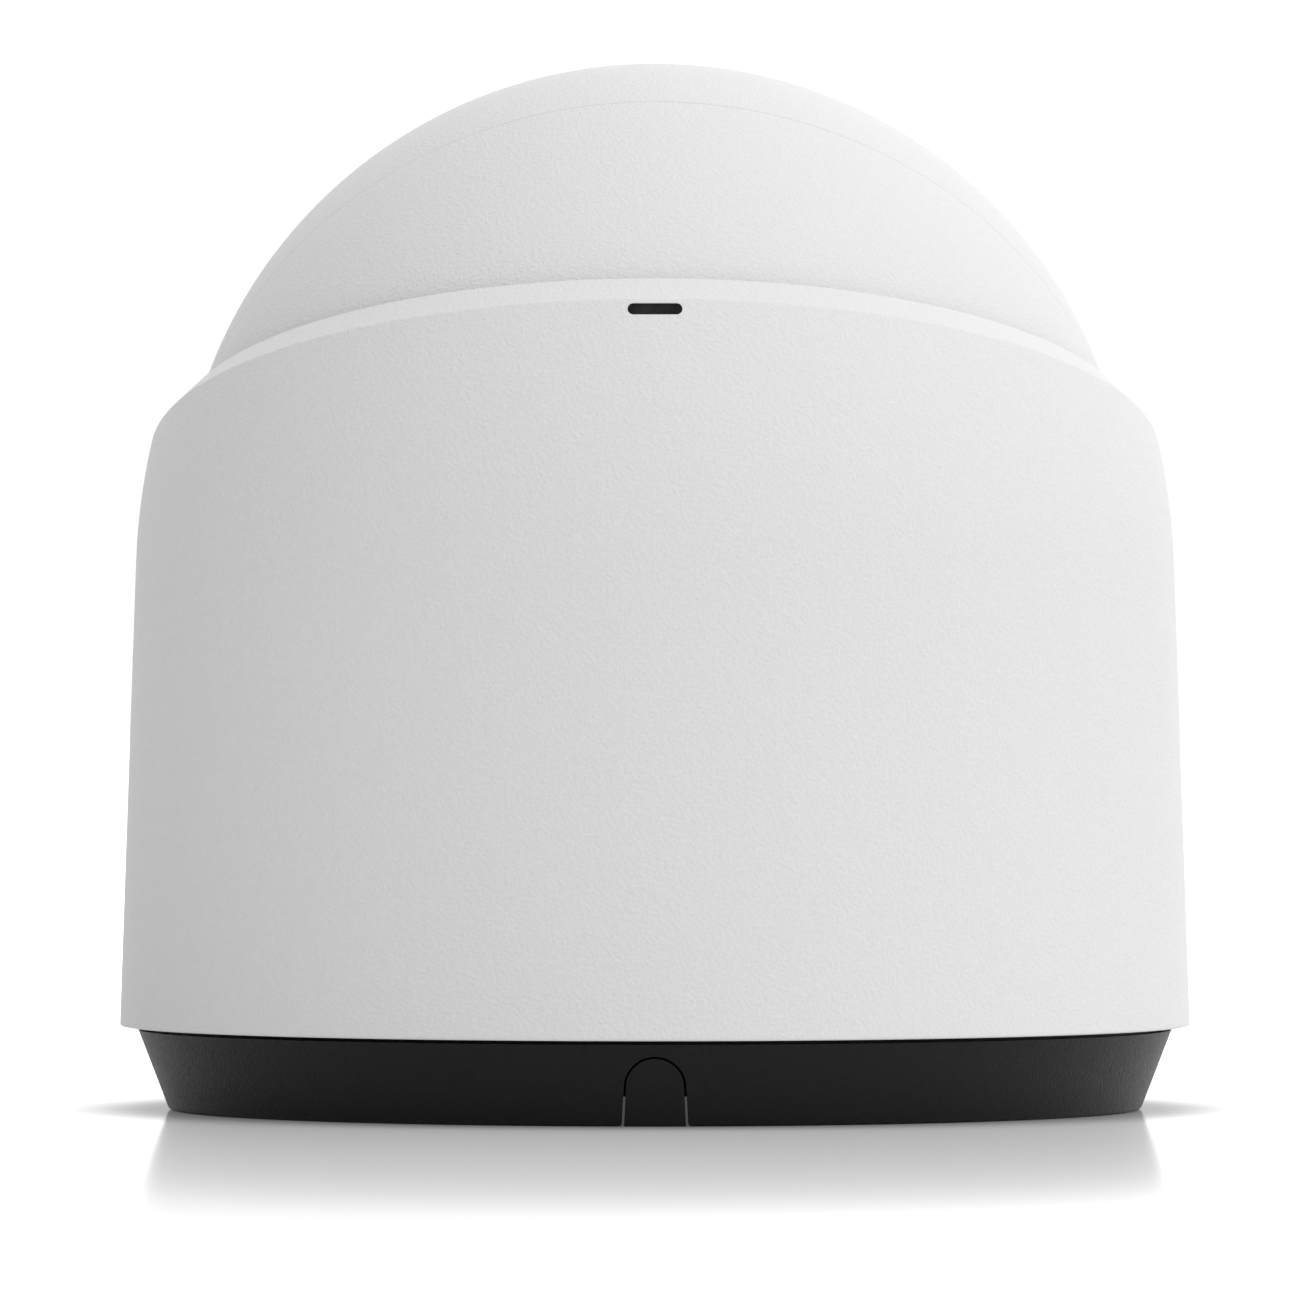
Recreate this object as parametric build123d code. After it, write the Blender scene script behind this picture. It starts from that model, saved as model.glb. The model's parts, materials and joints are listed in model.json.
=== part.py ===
"""Turret security camera on its mounting base.

Origin: centre of the mounting face. +Z leads away from the mounting surface, the lens looks
towards -Y. Sizes are in millimetres. The base is fixed, the housing pans on it, the ball
tilts in the housing, the lens module rolls in the ball.
"""

import os
from math import atan, cos, degrees, radians, sin, sqrt

from build123d import *

# ---------------------------------------------------------------- driving dimensions
cable_r = 3.0
clearance = 0.05  # radial clearance of every running fit
far = 200.0

# Base: an inverted cone with a raised plate and a central collar.
base_bottom_r = 50.0
base_flare = 0.386
base_top_z = 8.2
base_inner_r = 46.0
plate_bottom_z = 5.0
plate_top_z = 6.8
spigot_outer_r = 51.9
spigot_inner_r = 50.9
spigot_top_z = 13.0
collar_outer_r = 20.6
collar_inner_r = 17.0
collar_top_z = 9.6
boss_r = 5.0
mounting_hole_r = 2.25
mounting_pitch_r = 38.0
mounting_angles = (-90, 30, 150)
gasket_inner_r = 46.9
gasket_outer_r = 48.7
gasket_height = 1.2
channel_width = 7.2
channel_top_z = 7.0
notch_top_z = 7.0
notch_width_top = 6.2
notch_width_bottom = 6.7
notch_gap = 0.22
notch_corner_r = 0.35

# Housing: a tapered wall, a rounded shoulder and a slanted rim with a chamfer band.
housing_bottom_z = 8.6
housing_bottom_r = 55.05
housing_taper = 0.0343
housing_wall = 2.5
shoulder_z = 56.2
shoulder_r = 65.7
rim_slope = 0.2932
rim_z = 71.49
band_on_wall = 3.15
band_on_rim = 2.32
slot_length = 5.45
slot_height = 1.14
slot_z = 81.05
housing_screw_angles = (90, 210, 330)
housing_screw_pitch_r = 46.0
lock_screw_angle = 240
lock_screw_z = 11.0

# Turntable and yoke.
turntable_bottom_z = 7.2
turntable_top_z = 9.5
turntable_r = 50.2
access_hole_r = 4.2
yoke_ring_outer_r = 34.0
yoke_ring_inner_r = 26.0
yoke_ring_height = 1.0
yoke_arm_inner_x = 49.35
yoke_arm_thickness = 0.8
yoke_arm_half_width = 4.5
yoke_screw_pitch_r = 30.0
quarter_angles = (45, 135, 225, 315)

# Ball.
ball_r = 49.05
ball_z = 58.5
ball_wall = 2.0
lens_elevation = 27.0
seam_t = 1.28
seam_bevel = 0.14
flange_inner_r = 41.0
flange_half = 3.9
pin_r = 2.5
pin_collar_r = 3.3
rear_flat_t = -37.6
rear_opening_r = 26.5
rear_seat_r = 30.2
window_opening_r = 22.6
window_mouth_r = 23.6
mouth_t = 41.6
collar_back_t = 30.5

# Lens module, measured along the lens axis from the ball's centre.
drum_r = 22.3
drum_bore_r = 20.9
drum_back_t = 8.0
drum_front_t = 41.5
bezel_r = 23.3
bezel_front_t = 43.0
window_r = 21.4
window_front_t = 42.75
window_back_t = 41.22
barrel_r = 7.0
barrel_head_r = 8.2
filter_pitch = 8.0
filter_size = 7.0

wall_angle = atan(housing_taper)
rim_angle = atan(rim_slope)


# ---------------------------------------------------------------- shared shapes
def tube(outer_r, inner_r, low, high):
    """A ring about Z between two heights."""
    return Pos(0, 0, low) * extrude(Circle(outer_r) - Circle(inner_r), high - low)


def rod(radius, low, high, x=0.0, y=0.0):
    """A cylinder along Z between two heights."""
    return Pos(x, y, low) * extrude(Circle(radius), high - low)


def block(low, high):
    """A box between two corners."""
    size = [b - a for a, b in zip(low, high)]
    middle = [(a + b) / 2 for a, b in zip(low, high)]
    return Pos(*middle) * Box(*size)


def chip(x, y, width, depth, low, high):
    """A box centred on x, y between two heights."""
    return block((x - width / 2, y - depth / 2, low), (x + width / 2, y + depth / 2, high))


def round_positions(pitch_r, angles):
    """Points on a circle about Z."""
    return [(pitch_r * cos(radians(a)), pitch_r * sin(radians(a))) for a in angles]


def rods(radius, low, high, points):
    """Equal cylinders along Z at several points."""
    return [rod(radius, low, high, x, y) for x, y in points]


def screws(points, shank_r, shank_low, shank_high, head_r, head_low, head_high):
    """Separate screws along Z, each with a shank, a round head and a cross recess."""
    middle = (head_low + head_high) / 2
    tip = head_high if head_high > shank_high else head_low
    group = []
    for x, y in points:
        screw = rod(shank_r, shank_low, shank_high, x, y) + rod(head_r, head_low, head_high, x, y)
        half = abs(tip - middle)
        for width, depth in ((head_r * 1.2, 0.5), (0.5, head_r * 1.2)):
            screw -= chip(x, y, width, depth, tip - half, tip + half)
        group.append(screw)
    return Compound(children=group)


def revolved(points):
    """A solid of revolution about Z from corners given as radius and height."""
    return revolve(Plane.XZ * make_face(Polyline(*points, close=True)), Axis.Z)


def above(slope_z):
    """Everything above the plane that is parallel to the rim and crosses the axis at slope_z."""
    slab = Pos(0, 0, far / 2) * Box(far * 2, far * 2, far)
    return Pos(0, 0, slope_z) * Rot(degrees(rim_angle), 0, 0) * slab


def aim(shape):
    """Carry a shape from the lens axis' own frame, where +Z leads out of the lens."""
    return Pos(0, 0, ball_z) * Rot(90 - lens_elevation, 0, 0) * shape


def housing_form(inset):
    """The housing's outer form, or its cavity, as a solid with no slanted cut."""
    start_r = housing_bottom_r - housing_taper * (shoulder_z - housing_bottom_z)
    centre_r = start_r - shoulder_r * cos(wall_angle)
    centre_z = shoulder_z - shoulder_r * sin(wall_angle)
    radius = shoulder_r - inset

    def shoulder_point(angle):
        return centre_r + radius * cos(angle), centre_z + radius * sin(angle)

    top_angle = radians(36)
    low = shoulder_point(wall_angle)
    middle = shoulder_point((wall_angle + top_angle) / 2)
    top = shoulder_point(top_angle)
    bottom_r = low[0] + housing_taper * (low[1] - housing_bottom_z)
    outline = [
        Line((0, housing_bottom_z), (bottom_r, housing_bottom_z)),
        Line((bottom_r, housing_bottom_z), low),
        ThreePointArc(low, middle, top),
        Line(top, (0, top[1])),
        Line((0, top[1]), (0, housing_bottom_z)),
    ]
    return revolve(Plane.XZ * make_face(outline), Axis.Z)


def base_cone(top_z):
    """The base's outer cone as a solid."""
    top_r = base_bottom_r + base_flare * top_z
    return revolved([(0, 0), (base_bottom_r, 0), (top_r, top_z), (0, top_z)])


def along_y(outline, y_low, y_high):
    """A closed outline in X and Z, extruded between two values of Y."""
    return Pos(0, y_low, 0) * extrude(Plane.XZ * make_face(outline), -(y_high - y_low))


def notch_form(grow, y_low, y_high):
    """The arch of the cable notch along Y, made larger all round by grow."""
    half_low = notch_width_bottom / 2 + grow
    half_high = notch_width_top / 2 + grow
    spring_z = notch_top_z + grow - half_high
    outline = [
        Line((-half_low, -1), (half_low, -1)),
        Line((half_low, -1), (half_high, spring_z)),
        ThreePointArc((half_high, spring_z), (0, notch_top_z + grow), (-half_high, spring_z)),
        Line((-half_high, spring_z), (-half_low, -1)),
    ]
    return along_y(outline, y_low, y_high)


def notch_corner(y_low, y_high):
    """The rounding of the notch's lower corner on the +X side, as a shape to cut away."""
    slant = (notch_width_bottom - notch_width_top) / 2 / (notch_top_z - notch_width_top / 2 + 1)
    corner_x = notch_width_bottom / 2 - slant
    wall_x = corner_x - slant * notch_corner_r
    middle = corner_x + 0.29 * notch_corner_r, 0.29 * notch_corner_r
    outline = [
        ThreePointArc((corner_x + notch_corner_r, 0), middle, (wall_x, notch_corner_r)),
        Line((wall_x, notch_corner_r), (corner_x - 0.5, notch_corner_r)),
        Line((corner_x - 0.5, notch_corner_r), (corner_x - 0.5, -0.5)),
        Line((corner_x - 0.5, -0.5), (corner_x + notch_corner_r, -0.5)),
        Line((corner_x + notch_corner_r, -0.5), (corner_x + notch_corner_r, 0)),
    ]
    return along_y(outline, y_low, y_high)


# ---------------------------------------------------------------- base
def mounting_base():
    top_r = base_bottom_r + base_flare * base_top_z
    body = revolved([
        (base_inner_r, 0), (base_bottom_r, 0), (top_r, base_top_z),
        (spigot_outer_r, base_top_z), (spigot_outer_r, spigot_top_z),
        (spigot_inner_r, spigot_top_z), (spigot_inner_r, plate_top_z),
        (collar_outer_r, plate_top_z), (collar_outer_r, collar_top_z),
        (collar_inner_r, collar_top_z), (collar_inner_r, plate_bottom_z),
        (base_inner_r, plate_bottom_z),
    ])
    bottom_edge = body.edges().filter_by(GeomType.CIRCLE).sort_by(Axis.Z).group_by(Axis.Z)[0]
    body = fillet(bottom_edge.sort_by(SortBy.RADIUS)[-1], 0.6)
    for x, y in round_positions(mounting_pitch_r, mounting_angles):
        body += rod(boss_r, 0, plate_bottom_z, x, y)
    body -= rods(mounting_hole_r, -1, 8, round_positions(mounting_pitch_r, mounting_angles))
    groove = tube(gasket_outer_r, gasket_inner_r, -1, gasket_height)
    body -= groove - block((-6, 0, -2), (6, 60, 4))
    half = channel_width / 2
    body -= block((-half, collar_inner_r - 3, -1), (half, base_inner_r + 1, channel_top_z))
    body -= notch_form(0, base_inner_r - 1, 60)
    corner = notch_corner(base_inner_r - 1, 60)
    body -= [corner, mirror(corner, Plane.YZ)]
    body -= rods(0.8, 6.5, 12, round_positions(18.8, (-90, 30, 150)))
    return body


def base_gasket():
    ring = tube(gasket_outer_r - 0.05, gasket_inner_r + 0.05, 0, gasket_height - 0.05)
    return ring - block((-6.05, 0, -2), (6.05, 60, 4))


def cable_notch_plug():
    """The arched piece that fills the cable notch, flush with the cone."""
    arch = notch_form(-notch_gap, base_inner_r + 0.2, 60) & base_cone(base_top_z)
    arch -= block((-2.2, base_inner_r - 1, -1), (2.2, base_inner_r + 2.2, 4.6))
    return arch - block((-10, 0, -2), (10, 60, 0))


def glide_ring():
    return tube(28, 24, plate_top_z, turntable_bottom_z - clearance)


def retaining_ring():
    ring = tube(24, collar_inner_r + 0.2, collar_top_z + 0.05, collar_top_z + 1.2)
    return ring - rods(1.05, 5, 15, round_positions(18.8, (-90, 30, 150)))


def retaining_screws():
    top = collar_top_z + 1.2
    return screws(round_positions(18.8, (-90, 30, 150)), 0.78, 6.6, top, 1.45, top, top + 0.9)


# ---------------------------------------------------------------- housing
def housing_shell():
    outer = housing_form(0) - above(rim_z)
    rim_face = outer.faces().filter_by(GeomType.PLANE).sort_by(Axis.Z)[-1]
    outer = chamfer(rim_face.edges(), band_on_rim, band_on_wall, reference=rim_face)
    bottom_edge = outer.edges().filter_by(GeomType.CIRCLE).sort_by(Axis.Z)[0]
    outer = fillet(bottom_edge, 0.4)
    shell = outer - housing_form(housing_wall)
    bosses = rods(3.0, turntable_top_z, 24, round_positions(housing_screw_pitch_r, housing_screw_angles))
    for angle, boss in zip(housing_screw_angles, bosses):
        rib = Rot(0, 0, angle) * block((housing_screw_pitch_r, -1.2, 14.5), (52.5, 1.2, 24))
        shell += boss + (rib & housing_form(0.5))
    shell -= rods(1.5, 8, 20, round_positions(housing_screw_pitch_r, housing_screw_angles))
    half = yoke_arm_half_width + 0.6
    for side in (-1, 1):
        low_x, high_x = sorted((side * 45, side * 51.2))
        shell -= block((low_x, -half, 8), (high_x, half, 64.4))
    slot = extrude(Plane.XZ * SlotOverall(slot_length, slot_height), -12)
    shell -= Pos(0, 42, slot_z) * slot
    shell -= block((-4, 40, 79.4), (4, 46.2, 82.35))
    hole = Rot(0, 0, lock_screw_angle) * (Pos(0, 0, lock_screw_z) * Rot(0, 90, 0) * rod(1.5, 45, 60))
    return shell - hole


def turntable():
    disc = tube(turntable_r, collar_outer_r + clearance, turntable_bottom_z, turntable_top_z)
    disc -= rods(access_hole_r, 5, 12, round_positions(mounting_pitch_r, mounting_angles))
    screw_points = round_positions(housing_screw_pitch_r, housing_screw_angles)
    disc -= rods(1.6, 5, 12, screw_points)
    disc -= rods(2.8, 5, 8.65, screw_points)
    return disc - rods(1.3, 7.9, 12, round_positions(yoke_screw_pitch_r, quarter_angles))


def housing_screws():
    points = round_positions(housing_screw_pitch_r, housing_screw_angles)
    return screws(points, 1.45, 8.6, 18, 2.6, 7.4, 8.6)


def tilt_yoke():
    low = turntable_top_z
    high = low + yoke_ring_height
    yoke = tube(yoke_ring_outer_r, yoke_ring_inner_r, low, high)
    half = yoke_arm_half_width
    outer_x = yoke_arm_inner_x + yoke_arm_thickness
    for side in (-1, 1):
        foot_low, foot_high = sorted((side * 28, side * outer_x))
        arm_low, arm_high = sorted((side * yoke_arm_inner_x, side * outer_x))
        yoke += block((foot_low, -half, low), (foot_high, half, high))
        yoke += block((arm_low, -half, low), (arm_high, half, ball_z))
        yoke += Pos(arm_low, 0, ball_z) * Rot(0, 90, 0) * rod(half, 0, yoke_arm_thickness)
    yoke -= Pos(0, 0, ball_z) * Rot(0, 90, 0) * rod(pin_r + clearance, -60, 60)
    return yoke - rods(1.3, 5, 15, round_positions(yoke_screw_pitch_r, quarter_angles))


def yoke_screws():
    top = turntable_top_z + yoke_ring_height
    points = round_positions(yoke_screw_pitch_r, quarter_angles)
    return screws(points, 1.25, 8.0, top, 2.3, top, top + 1.4)


def rim_seal():
    """A wiper that fills most of the gap between the housing and the ball."""
    slab = above(rim_z - 2.0) - above(rim_z - 0.85)
    return (housing_form(housing_wall + 0.03) & slab) - Pos(0, 0, ball_z) * Sphere(ball_r + 0.3)


def microphone_mesh():
    return block((-3.8, 45.95, 79.6), (3.8, 46.15, 82.15))


def microphone():
    return block((-2.9, 44.6, 79.7), (2.9, 45.9, 81.9))


def microphone_flex():
    strip = housing_form(housing_wall + 0.06) - housing_form(housing_wall + 0.22)
    return strip & block((1.4, 10, 25), (4.4, 60, 79.3))


def pan_lock_screw():
    """A grub screw with a hexagon socket, in the housing's wall."""
    screw = rod(1.45, 52.15, 54.5) - Pos(0, 0, 53.2) * extrude(RegularPolygon(0.85, 6), 3)
    return Rot(0, 0, lock_screw_angle) * (Pos(0, 0, lock_screw_z) * Rot(0, 90, 0) * screw)


# ---------------------------------------------------------------- ball
def pin_rods(radius, low, high):
    """A cylinder along X on each side of the ball."""
    right = Rot(0, 90, 0) * rod(radius, low, high)
    return [right, Rot(0, 0, 180) * right]


def seam_half(low, high):
    """The part of the hollow ball between two planes, with a flange at the seam."""
    slab = block((-far, -far, low), (far, far, high))
    shell = (Sphere(ball_r) - Sphere(ball_r - ball_wall)) & slab
    ring = tube(ball_r, flange_inner_r, max(low, seam_t - 5.0), min(high, seam_t + flange_half))
    shell += ring & Sphere(ball_r - 0.4)
    for part in pin_rods(pin_r + 0.01, 40, 60) + pin_rods(pin_collar_r + 0.03, 44.3, 45.7):
        shell -= part
    return shell


def seam_groove(plane_t, direction):
    """The bevel that a shell's seam edge gets, as a ring to cut away."""
    edge_r = sqrt(ball_r**2 - seam_t**2) - seam_bevel
    reach = 2.0
    return revolved([
        (edge_r, plane_t), (edge_r + reach, plane_t), (edge_r + reach, plane_t + direction * reach),
    ])


def seam_screw_points():
    return round_positions(45.4, (40, 140, 220, 320))


def board_points():
    return round_positions(33.0, (40, 140, 220, 320))


def ball_rear_shell():
    shell = seam_half(-far, seam_t)
    shell -= block((-far, -far, -far), (far, far, rear_flat_t))
    flange = rod(33.5, rear_flat_t, rear_flat_t + 5.0) & Sphere(ball_r - 0.4)
    shell += flange
    shell += rods(2.6, -34, -22.05, board_points())
    shell &= Sphere(ball_r)
    shell -= rod(rear_opening_r, -60, -25)
    shell -= rod(rear_seat_r, -60, -35.05)
    shell -= rods(1.05, -30, -22, board_points())
    shell -= rods(0.95, -36, -32.9, round_positions(28.35, quarter_angles))
    shell -= tube(43.7, 42.1, seam_t - 1.35, 5)
    shell -= rods(1.1, -10, 5, seam_screw_points())
    return aim(shell - seam_groove(seam_t, -1))


def ball_front_shell():
    shell = seam_half(seam_t + 0.03, far)
    sleeve = tube(25.4, window_opening_r, collar_back_t, 60)
    shell -= rod(24, collar_back_t, 60)
    shell += sleeve & Sphere(ball_r)
    shell -= rod(window_mouth_r, mouth_t, 60)
    shell -= rods(0.95, 0, 4.6, seam_screw_points())
    return aim(shell - seam_groove(seam_t + 0.03, 1))


def seam_ring():
    return aim(Pos(0, 0, seam_t - 0.66) * Torus(42.9, 0.64))


def trunnion_pins():
    pins = []
    for shaft, collar in zip(pin_rods(pin_r, 44.35, 50.15), pin_rods(pin_collar_r, 44.35, 45.65)):
        pins.append(shaft + collar)
    return aim(Compound(children=pins))


def ball_screws():
    return aim(screws(seam_screw_points(), 0.93, -3.72, 4.4, 1.4, -5.0, -3.72))


def rear_cover():
    cover = rod(rear_seat_r - 0.1, rear_flat_t, -35.7)
    for step in range(-4, 5):
        x = step * 5.2
        reach = sqrt(23.0**2 - x**2)
        cover += block((x - 0.7, -reach, -40.6), (x + 0.7, reach, rear_flat_t))
    cover += chip(0, 14, 12, 12, -35.7, -24.05)
    cover -= rod(7.4, -45, rear_flat_t)
    cover -= rod(5.45, -50, -30)
    cover -= rod(4.0, -45, rear_flat_t, 0, -14)
    cover -= rod(1.7 + clearance, -50, -30, 0, -14)
    return aim(cover - rods(1.0, -50, -30, round_positions(28.35, quarter_angles)))


def rear_gasket():
    ring = tube(rear_seat_r - 0.1, rear_opening_r + 0.1, -35.68, -35.08)
    return aim(ring - rods(1.0, -50, -30, round_positions(28.35, quarter_angles)))


def rear_cover_screws():
    points = round_positions(28.35, quarter_angles)
    return aim(screws(points, 0.92, rear_flat_t, -33.2, 1.6, -38.7, rear_flat_t))


def rear_gland():
    gland = rod(5.4, -44, -32.5) + rod(7.2, -39.2, rear_flat_t)
    gland += rod(6.6, -35.6, -34.0)
    for height in (-43.2, -41.7, -40.2):
        gland -= tube(7, 4.7, height, height + 0.6)
    return aim(gland - rod(cable_r, -50, -30))


def main_board():
    board = rod(38, -22, -20.4)
    return aim(board - rods(1.1, -30, -10, board_points()))


def board_chips():
    low, high = -23.4, -22.02
    parts = [chip(0, 14, 12, 12, low, high)]
    parts += [chip(x, 14, 7.5, 11, low + 0.4, high) for x in (-16, 16)]
    parts += [chip(0, -2, 9, 6, low + 0.5, high)]
    return aim(Compound(children=parts))


def thermal_pad():
    return aim(chip(0, 14, 12, 12, -24.03, -23.42))


def board_standoffs():
    points = board_points()
    posts = [tube(2.4, 1.08, -20.38, -8.02).moved(Location((x, y, 0))) for x, y in points]
    return aim(Compound(children=posts))


def board_screws():
    return aim(screws(board_points(), 1.0, -28.5, -6.38, 2.0, -6.38, -5.1))


def power_board():
    board = rod(36.5, -8, -6.4)
    return aim(board - rods(1.1, -30, 0, board_points()))


def power_parts():
    parts = [chip(-12, 10, 14, 13, -6.38, 1.5), chip(13, 15, 9, 9, -6.38, -1.5)]
    parts += rods(4.0, -6.38, 2.2, [(6, -14), (-5, -14)])
    parts += [chip(-20, -10, 8, 5, -6.38, -3.8)]
    return aim(Compound(children=parts))


def card_socket():
    return aim(chip(-14, -14, 14, 15, -20.38, -18.5))


def reset_switch():
    return aim(chip(0, -14, 6, 6, -24.0, -22.02))


def reset_button():
    button = rod(1.7, -38.6, -35.2, 0, -14) + rod(2.7, -35.2, -34.4, 0, -14)
    return aim(button + rod(1.2, -34.4, -24.6, 0, -14))


# ---------------------------------------------------------------- lens module
def lens_drum():
    drum = tube(drum_r, drum_bore_r, drum_back_t, drum_front_t)
    drum += tube(window_opening_r - clearance, drum_bore_r, 31.0, 33.0)
    drum += tube(window_opening_r - clearance, drum_bore_r, 38.0, 40.0)
    drum += tube(bezel_r, window_r + 0.15, 41.75, bezel_front_t)
    drum += tube(22.2, window_r + 0.15, 41.0, 42.0)
    drum += tube(drum_bore_r + 0.1, 20.0, 39.8, 40.8)
    drum += tube(drum_bore_r + 0.1, 17.8, 32.0, 33.0)
    drum += tube(drum_bore_r + 0.1, 9.0, drum_back_t, drum_back_t + 1.5)
    drum -= tube(window_r + 0.15, 20.0, 40.8, 60)
    return aim(drum)


def drum_retainer():
    return aim(tube(25.6, drum_r + 0.03, 28.8, collar_back_t - 0.1))


def window_gasket():
    return aim(tube(window_r - 0.1, 20.1, 40.82, 41.2))


def front_window():
    disc = rod(window_r, window_back_t, window_front_t)
    rim = disc.edges().filter_by(GeomType.CIRCLE).sort_by(Axis.Z)[-1]
    return aim(chamfer(rim, 0.25))


def lens_baffle():
    return aim(tube(10.6, barrel_head_r + 0.3, 34.4, 41.15))


def lens_barrel():
    barrel = rod(barrel_r, 17.5, 33.5) + rod(barrel_head_r, 33.5, 38.6)
    for height in (25.5, 27.5, 29.5, 31.5):
        barrel -= tube(9, 6.7, height, height + 0.6)
    barrel -= rod(3.6, 10, 20.0)
    barrel -= rod(2.6, 15, 35)
    barrel -= rod(6.65, 33.0, 36.6)
    mouth = revolved([(0, 36.5), (6.65, 36.5), (7.6, 39), (0, 39)])
    return aim(barrel - mouth)


def front_lens():
    """A meniscus that bulges out of the barrel."""
    outer = Pos(0, 0, 28.0) * Sphere(9.9)
    inner = Pos(0, 0, 24.0) * Sphere(10.6)
    return aim((outer - inner) & rod(6.6, 33.05, 40))


def rear_lens():
    return aim((Pos(0, 0, 25.0) * Sphere(7.4)) & rod(3.55, 17.0, 19.95))


def lens_mount():
    body = chip(0, 0, 19, 19, 15.9, 24.5)
    body -= rod(barrel_r + 0.05, 15, 30)
    for x, y in ((-7.6, -7.6), (7.6, 7.6)):
        body -= rod(0.8, 15, 21, x, y)
    return aim(body)


def infrared_board():
    return aim(tube(20.6, 11.2, 33.05, 34.25))


def lamp_points():
    return round_positions(15.8, (0, 36, 72, 144, 180, 216, 252, 288, 324))


def infrared_lamps():
    lamps = []
    for x, y in lamp_points():
        dome = rod(1.5, 35.0, 37, x, y) & Pos(x, y, 35.0) * Sphere(1.5)
        lamps.append(chip(x, y, 3.4, 3.4, 34.28, 35.2) + dome)
    return aim(Compound(children=lamps))


def light_sensor():
    x, y = round_positions(15.8, (108,))[0]
    return aim(chip(x, y, 2.0, 2.6, 34.28, 35.1) + rod(0.8, 35.0, 35.6, x, y))


def sensor_board():
    return aim(chip(0, 0, 26, 26, 9.6, 10.8))


def image_sensor():
    return aim(chip(0, 0, 10.5, 8.5, 10.82, 11.95))


def filter_frame():
    """The tray that guides the filter carriage in front of the sensor."""
    frame = chip(0, 0, 26.5, 12.5, 12.1, 15.85)
    frame -= chip(0, 0, 24.6, 9.0, 13.3, 15.2)
    frame -= chip(0, 0, 6.4, 6.4, 11, 17)
    return aim(frame - chip(0, 0, 24.6, 7.4, 15.1, 17))


def filter_carriage():
    """Carries the infrared-cut filter on the axis and the clear filter beside it."""
    middle = filter_pitch / 2
    plate = chip(middle, 0, 16.0, 8.6, 13.6, 14.9)
    for x in (0, filter_pitch):
        plate -= chip(x, 0, filter_size, filter_size, 13.9, 16)
        plate -= chip(x, 0, filter_size - 1, filter_size - 1, 13, 16)
    return aim(plate)


def filter_glass(x):
    return aim(chip(x, 0, filter_size - 0.1, filter_size - 0.1, 13.92, 14.6))


# ---------------------------------------------------------------- all nodes
NODES = {
    "mounting_base": mounting_base,
    "base_gasket": base_gasket,
    "cable_notch_plug": cable_notch_plug,
    "glide_ring": glide_ring,
    "retaining_ring": retaining_ring,
    "retaining_screws": retaining_screws,
    "housing_shell": housing_shell,
    "turntable": turntable,
    "housing_screws": housing_screws,
    "tilt_yoke": tilt_yoke,
    "yoke_screws": yoke_screws,
    "rim_seal": rim_seal,
    "microphone_mesh": microphone_mesh,
    "microphone": microphone,
    "microphone_flex": microphone_flex,
    "pan_lock_screw": pan_lock_screw,
    "ball_rear_shell": ball_rear_shell,
    "ball_front_shell": ball_front_shell,
    "seam_ring": seam_ring,
    "trunnion_pins": trunnion_pins,
    "ball_screws": ball_screws,
    "rear_cover": rear_cover,
    "rear_gasket": rear_gasket,
    "rear_cover_screws": rear_cover_screws,
    "rear_gland": rear_gland,
    "main_board": main_board,
    "board_chips": board_chips,
    "thermal_pad": thermal_pad,
    "board_standoffs": board_standoffs,
    "board_screws": board_screws,
    "power_board": power_board,
    "power_parts": power_parts,
    "card_socket": card_socket,
    "reset_switch": reset_switch,
    "reset_button": reset_button,
    "lens_drum": lens_drum,
    "drum_retainer": drum_retainer,
    "window_gasket": window_gasket,
    "front_window": front_window,
    "lens_baffle": lens_baffle,
    "lens_barrel": lens_barrel,
    "front_lens": front_lens,
    "rear_lens": rear_lens,
    "lens_mount": lens_mount,
    "infrared_board": infrared_board,
    "infrared_lamps": infrared_lamps,
    "light_sensor": light_sensor,
    "sensor_board": sensor_board,
    "image_sensor": image_sensor,
    "filter_frame": filter_frame,
    "filter_carriage": filter_carriage,
    "infrared_cut_filter": lambda: filter_glass(0),
    "clear_filter": lambda: filter_glass(filter_pitch),
}

os.makedirs("parts", exist_ok=True)
for node, make in NODES.items():
    export_step(make(), f"parts/{node}.step")
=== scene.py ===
"""Looks of the turret security camera: fine shells, materials, studio and camera.

Lengths are in metres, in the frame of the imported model: the origin is the centre of the
mounting face, +Z leads away from it and the lens looks towards -Y. The camera stands behind
the object, on the +Y side.
"""

import json
from math import asin, atan, cos, hypot, pi, radians, sin, sqrt

import bmesh
import bpy
from mathutils import Matrix, Vector


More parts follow.
